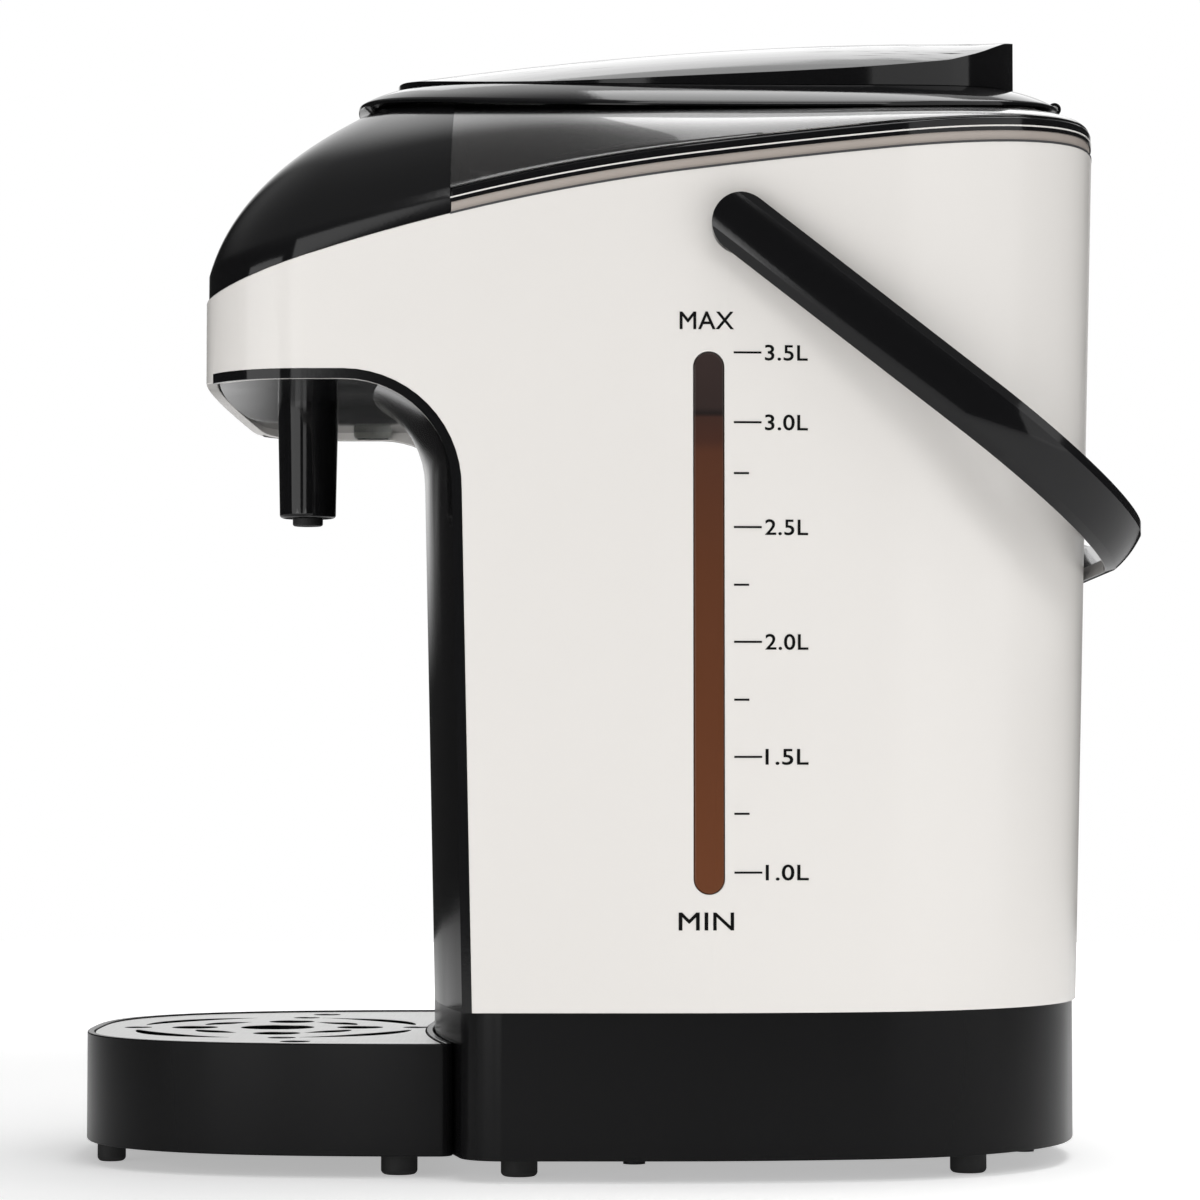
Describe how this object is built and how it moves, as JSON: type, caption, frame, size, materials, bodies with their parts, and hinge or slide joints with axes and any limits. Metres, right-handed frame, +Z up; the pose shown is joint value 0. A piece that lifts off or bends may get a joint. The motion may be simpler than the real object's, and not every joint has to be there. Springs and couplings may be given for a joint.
{
  "type": "electric hot water dispenser",
  "caption": "Counter-top hot water dispenser with an overhanging spout head, side level window, hinged lid, bail handle and pull-out drip tray with a slotted grille.",
  "frame": {"origin": "on the table, under the middle of the object's outline", "axes": "+Z up, -Y towards the front (spout and tray), +X towards the side with the level window"},
  "size_m": [0.2154, 0.299, 0.3219],
  "materials": {
    "white_gloss": "gloss",
    "black_gloss": "gloss",
    "black_satin": "satin",
    "smoky_clear": "gloss",
    "warm_grey": "satin",
    "amber_window": "gloss",
    "clear_plastic": "gloss",
    "stainless": "brushed",
    "aluminium": "satin",
    "silicone": "matte",
    "rubber": "matte",
    "grey_plastic": "matte",
    "pump_plastic": "matte",
    "board": "matte",
    "brass": "satin",
    "key_grey": "satin",
    "lens_amber": "gloss"
  },
  "bodies": {
    "housing": {"base_housing": "black_satin", "bottom_cover": "black_satin", "base_feet": "rubber", "body_shell": "white_gloss", "arch_trims": "black_gloss", "front_fascia": "black_gloss", "spout_body": "black_gloss", "spout_nozzle": "rubber", "control_panel": "black_gloss", "indicator_lenses": "lens_amber", "cup_lamp": "clear_plastic", "top_collar": "smoky_clear", "collar_strip": "warm_grey", "collar_rim": "black_gloss", "head_bulkhead": "grey_plastic", "tank_deck": "grey_plastic", "tank_seal": "silicone", "water_tank": "stainless", "tank_floor": "stainless", "heater_plate": "aluminium", "thermostats": "brass", "pump_housing": "pump_plastic", "pump_motor": "stainless", "suction_hose": "silicone", "riser_hose": "silicone", "board_bracket": "grey_plastic", "control_board": "board", "power_board": "board", "power_inlet": "black_satin", "inlet_pins": "brass", "level_window": "amber_window", "sight_tube": "clear_plastic", "tube_fittings": "silicone", "handle_stubs": "black_gloss", "hinge_ears": "black_gloss", "lid_hinge_pin": "stainless", "housing_screws": "stainless"},
    "tray": {"drip_tray": "black_satin", "tray_feet": "rubber"},
    "grille": {"drip_grille": "stainless"},
    "handle": {"carry_handle": "black_gloss"},
    "lid": {"lid_rim": "black_gloss", "lid_flange": "black_gloss", "lid_top": "black_gloss", "lid_inner_cover": "stainless", "lid_gasket": "silicone", "steam_vent": "black_satin"},
    "dispense": {"dispense_key": "key_grey"},
    "boil": {"boil_key": "key_grey"},
    "lock": {"lock_key": "key_grey"},
    "impeller": {"pump_impeller": "pump_plastic"}
  },
  "joints": [
    {"name": "tray_pull", "type": "slide", "parent": "housing", "child": "tray", "axis": [0, -1, 0], "range_m": [0, 0.12]},
    {"name": "grille_lift", "type": "slide", "parent": "tray", "child": "grille", "axis": [0, 0, 1], "range_m": [0, 0.06]},
    {"name": "handle_swing", "type": "hinge", "parent": "housing", "child": "handle", "pos_m": [0, 0.0355, 0.2566], "axis": [1, 0, 0], "range_deg": [0, 130]},
    {"name": "lid_hinge", "type": "hinge", "parent": "housing", "child": "lid", "pos_m": [0, 0.1293, 0.30197], "axis": [-1, 0, 0], "range_deg": [0, 90]},
    {"name": "dispense_press", "type": "slide", "parent": "housing", "child": "dispense", "axis": [0, 0.7887, -0.6148], "range_m": [0, 0.001], "stiffness_N_per_m": 1500},
    {"name": "boil_press", "type": "slide", "parent": "housing", "child": "boil", "axis": [-0.0277, 0.7265, -0.6866], "range_m": [0, 0.001], "stiffness_N_per_m": 1500},
    {"name": "lock_press", "type": "slide", "parent": "housing", "child": "lock", "axis": [0.0277, 0.7265, -0.6866], "range_m": [0, 0.001], "stiffness_N_per_m": 1500},
    {"name": "impeller_spin", "type": "hinge", "parent": "housing", "child": "impeller", "pos_m": [0, -0.0083, 0.03], "axis": [0, 0, 1], "continuous": true}
  ]
}
